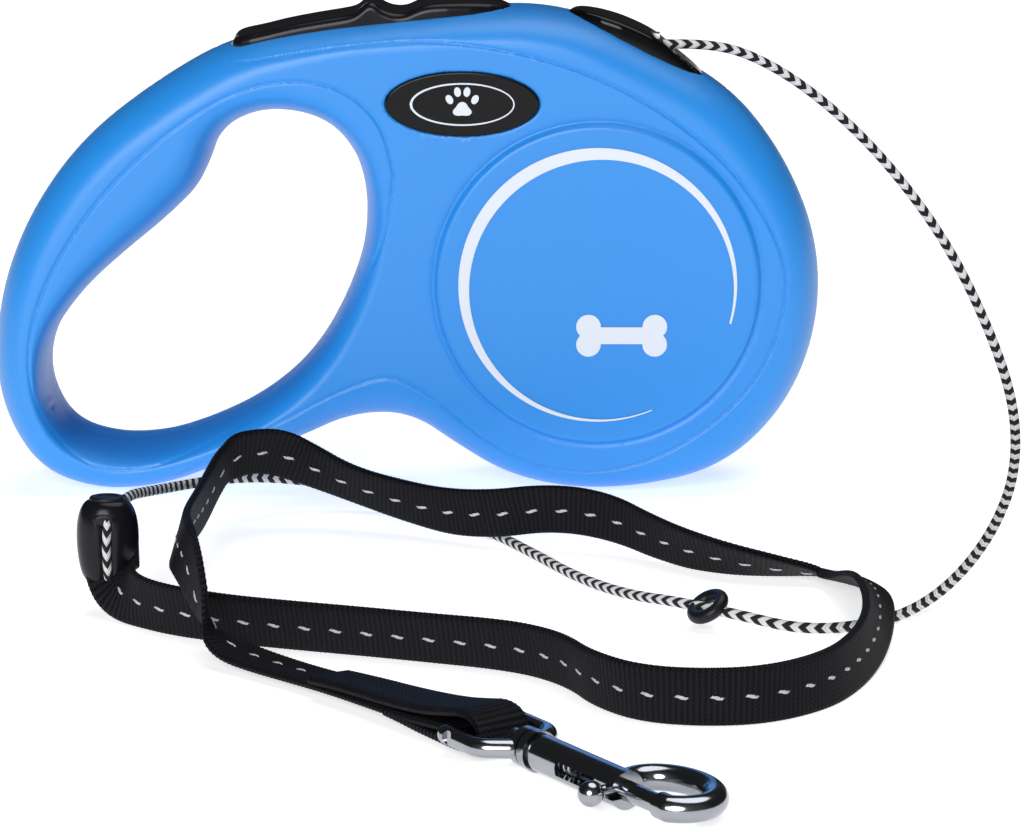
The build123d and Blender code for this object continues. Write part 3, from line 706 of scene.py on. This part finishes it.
# ---------------------------------------------------------------- button and nozzle
def cap_loft(name, tops, halves, deep, corner, step=0.4, crown=0.0, sides=9):
    """A cap over X: top height and half width by X, with rounded shoulders."""
    x0, x1 = tops[0][0], tops[-1][0]
    top_line = curve2d(tops)
    xs = np.arange(x0, x1 + 1e-6, step)
    z = np.interp(xs, top_line[:, 0], top_line[:, 1])
    w = np.interp(xs, *np.array(halves).T)
    rings = []
    for x, zt, h in zip(xs, z, w):
        r = min(corner, h * 0.9)
        ring = [(x, -h - 0.15, zt - deep), (x, -h - 0.1, zt - deep * 0.6)]
        for k in range(sides):
            a = math.radians(180 - 90 * k / (sides - 1))
            ring.append((x, -h + r + r * math.cos(a), zt - r + r * math.sin(a)))
        for f in (-0.6, -0.3, 0, 0.3, 0.6):
            ring.append((x, f * (h - r), zt + crown * (1 - f * f)))
        for k in range(sides):
            a = math.radians(90 - 90 * k / (sides - 1))
            ring.append((x, h - r + r * math.cos(a), zt - r + r * math.sin(a)))
        ring += [(x, h + 0.1, zt - deep * 0.6), (x, h + 0.15, zt - deep)]
        rings.append([np.array(p) for p in ring])
    return skin(name, rings, xs, [k * 0.5 for k in range(len(rings[0]))], closed=True)


BUTTON_TOP = [
    (-32.4, 84.9), (-32.0, 86.0), (-30.4, 86.7), (-27, 87.3), (-22, 88.6), (-16, 89.7), (-11.5, 90.4),
    (-9.2, 90.9), (-7.9, 92.0), (-6.6, 93.0), (-5.6, 92.9), (-4.2, 91.7), (-2.2, 90.9), (0.2, 90.9),
    (2.2, 91.9), (4.4, 92.6), (8, 92.8), (12.5, 92.8), (16.5, 92.5), (19.4, 92.0), (20.6, 91.2),
]
BUTTON_HALF = [
    (-32.4, 4.6), (-31.8, 6.0), (-30.6, 7.1), (-28.5, 7.6), (-10, 7.6), (-6.2, 7.4), (-3, 7.6), (8, 7.6),
    (12.5, 7.2), (16, 6.0), (18.4, 4.4), (19.8, 2.8), (20.6, 1.2),
]
button = cap_loft("brake_cap", BUTTON_TOP, BUTTON_HALF, 6.0, 1.5, crown=-0.25)
paint(button, BLACK_SATIN)
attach(button, "button")
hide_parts("brake_button")

NOZZLE_TOP = [
    (30.6, 90.5), (31.4, 91.3), (35, 90.8), (40, 89.4), (44.2, 87.6), (46.8, 86.2), (48.6, 84.9),
    (50.6, 83.2), (53.2, 81.2), (55.6, 79.2), (57.0, 77.4),
]
NOZZLE_HALF = [
    (30.6, 1.0), (31.6, 3.0), (33.5, 5.2), (36.5, 6.9), (40, 7.6), (46, 7.8), (50, 7.4), (53, 6.6),
    (55.4, 4.8), (57, 2.2),
]
nozzle = cap_loft("cord_nozzle", NOZZLE_TOP, NOZZLE_HALF, 5.0, 1.3)
paint(nozzle, BLACK_GLOSS)
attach(nozzle, "casing")
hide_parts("nozzle")


# ---------------------------------------------------------------- marks on the name plate
def flat_marks(name, loops, y, side=-1):
    """Thin raised shapes in the XZ plane; each is an outline, or a pair that makes a ring."""
    verts, faces = [], []
    for outline, inner in loops:
        base, n = len(verts), len(outline)
        verts += [(p[0], side * y, p[1]) for p in outline]
        if inner is None:
            faces.append(tuple(range(base, base + n)) if side > 0 else tuple(range(base, base + n))[::-1])
            continue
        verts += [(p[0], side * y, p[1]) for p in inner]
        for i in range(n):
            j = (i + 1) % n
            q = (base + i, base + j, base + n + j, base + n + i)
            faces.append(q if side < 0 else q[::-1])
    return mesh_object(name, verts, faces, smooth=False)


def ellipse(x, z, a, b, tilt=0.0, count=48):
    c, t = math.cos(tilt), math.sin(tilt)
    return [(x + a * math.cos(w) * c - b * math.sin(w) * t, z + a * math.cos(w) * t + b * math.sin(w) * c)
            for w in np.linspace(0, 2 * math.pi, count, endpoint=False)]


def paw(x, z, size):
    toes = [(-1.35, 0.35, 0.5), (-0.5, 1.15, 0.15), (0.5, 1.15, -0.15), (1.35, 0.35, -0.5)]
    shapes = [(ellipse(x + size * u, z + size * v, size * 0.36, size * 0.52, tilt, 24), None)
              for u, v, tilt in toes]
    pad = []
    for w in np.linspace(0, 2 * math.pi, 40, endpoint=False):
        r = 0.92 + 0.16 * math.cos(3 * w + math.pi / 2)
        pad.append((x + size * r * math.cos(w), z + size * (r * 0.78 * math.sin(w) - 0.75)))
    return shapes + [(pad, None)]


lx, lz = LABEL[0], LABEL[1]
for side, name in ((-1, "plate_marks_front"), (1, "plate_marks_rear")):
    ring = (ellipse(lx, lz, 9.7, 4.0), ellipse(lx + 0.1, lz, 9.35, 3.7))
    marks = flat_marks(name, [ring] + paw(lx, lz + 0.3, 1.75), 14.29, side)
    paint(marks, PALE)
    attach(marks, "casing")

# ---------------------------------------------------------------- stopper ring
def torus(name, at, axis, radius, wire, turns=64, sides=28):
    """A ring of round section, its axis along the given way."""
    n = Vector(axis).normalized()
    u = n.orthogonal().normalized()
    v = n.cross(u)
    rings = []
    for k in range(turns):
        a = 2 * math.pi * k / turns
        way = u * math.cos(a) + v * math.sin(a)
        rings.append([np.array(Vector(at) + way * (radius + wire * math.cos(b)) + n * (wire * math.sin(b)))
                      for b in np.linspace(0, 2 * math.pi, sides, endpoint=False)])
    rings.append(rings[0])
    along, around = [k * 0.4 for k in range(turns + 1)], [k * 0.3 for k in range(sides)]
    return skin(name, rings, along, around, caps=False)


ring_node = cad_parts["stopper_ring"]
ring_box = [ring_node.matrix_world @ Vector(c) for c in ring_node.bound_box]
ring_at = sum(ring_box, Vector()) / 8 / MM
stopper = torus("cord_stopper", ring_at, (-0.50, -0.26, 0.82), 2.65, 1.15)
paint(stopper, RUBBER)
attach(stopper, "stopper")
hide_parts("stopper_ring")

# ---------------------------------------------------------------- connector
CONNECTOR = (-48.5, -92.6)
SHELL_PROFILE = [
    (5.4, 3.6), (6.2, 4.3), (8, 4.85), (10.5, 5.2), (13, 5.3), (15.4, 5.2), (17.4, 4.8), (18.7, 4.2),
    (19.4, 3.5), (19.7, 2.6), (19.75, 1.2),
]


def connector():
    cx, cy = CONNECTOR
    heights = curve2d([(z, r) for z, r in SHELL_PROFILE])
    rings = []
    for z, r in heights:
        ring = []
        for k in range(64):
            a = 2 * math.pi * k / 64
            c, t = math.cos(a), math.sin(a)
            deep = 0.0
            if z < 17.6:
                deep = 0.9 * math.exp(-((c * r + 0.1) / 0.9) ** 2) * (t < 0)
            ring.append(np.array([cx + r * c, cy + (r * 0.82 - deep) * t, z]))
        rings.append(ring)
    return skin("connector_body", rings, heights[:, 0], [k * 0.5 for k in range(64)])


body = connector()
paint(body, BLACK_SATIN)
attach(body, "casing")
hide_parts("connector_shell")
PLUG = ((19.0, 1.0), (19.9, 1.0), (20.15, 0.93), (20.25, 0.8), (20.0, 0.62), (19.95, 0.3))
plug_rings = [[np.array([CONNECTOR[0] + 3.0 * f * math.cos(a), CONNECTOR[1] + 2.2 * f * math.sin(a), z])
               for a in np.linspace(0, 2 * math.pi, 40, endpoint=False)] for z, f in PLUG]
plug = skin("connector_plug", plug_rings, range(len(PLUG)), [k * 0.5 for k in range(40)])
paint(plug, RUBBER)
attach(plug, "casing")
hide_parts("connector_cap")
NOTCH = ((-0.8, 1.0), (-0.15, 1.0), (0.12, 0.85), (0.14, 0.5))
notch_x, notch_y, notch_z = CONNECTOR[0] - 0.2, CONNECTOR[1] - 4.0, 16.9
notch_rings = [[np.array([notch_x + 1.9 * f * math.cos(a), notch_y - d, notch_z + 1.0 * f * math.sin(a)])
                for a in np.linspace(0, 2 * math.pi, 32, endpoint=False)] for d, f in NOTCH]
notch = skin("connector_notch", notch_rings, range(len(NOTCH)), [k * 0.3 for k in range(32)])
paint(notch, RUBBER)
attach(notch, "casing")
loop_line = spline_line([(-48.2, -95.9, 17.6), (-48.2, -96.5, 15.4), (-48.4, -96.6, 12), (-48.3, -96.4, 8.5),
                         (-48.2, -95.6, 6.6)])
loop_cord, _ = cord_tube("connector_cord_loop", loop_line, 0.75, CAMERA_AT)
paint(loop_cord, CORD)
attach(loop_cord, "casing")

# ---------------------------------------------------------------- CAD pieces shown as they are
LOOKS = {
    "label_front": BLACK_GLOSS, "label_rear": BLACK_GLOSS,
    "side_print": PALE, "casing_screws": STEEL, "nozzle_eyelet": STEEL,
    "hook_shackle": CHROME, "shackle_bar": CHROME,
    "hook_body": CHROME, "hook_bolt": CHROME, "hook_knob": CHROME, "hook_bolt_spring": STEEL,
    "inner_cord_run": CORD, "reel": PALE,
}
for name, look in LOOKS.items():
    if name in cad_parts:
        paint(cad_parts[name], look)
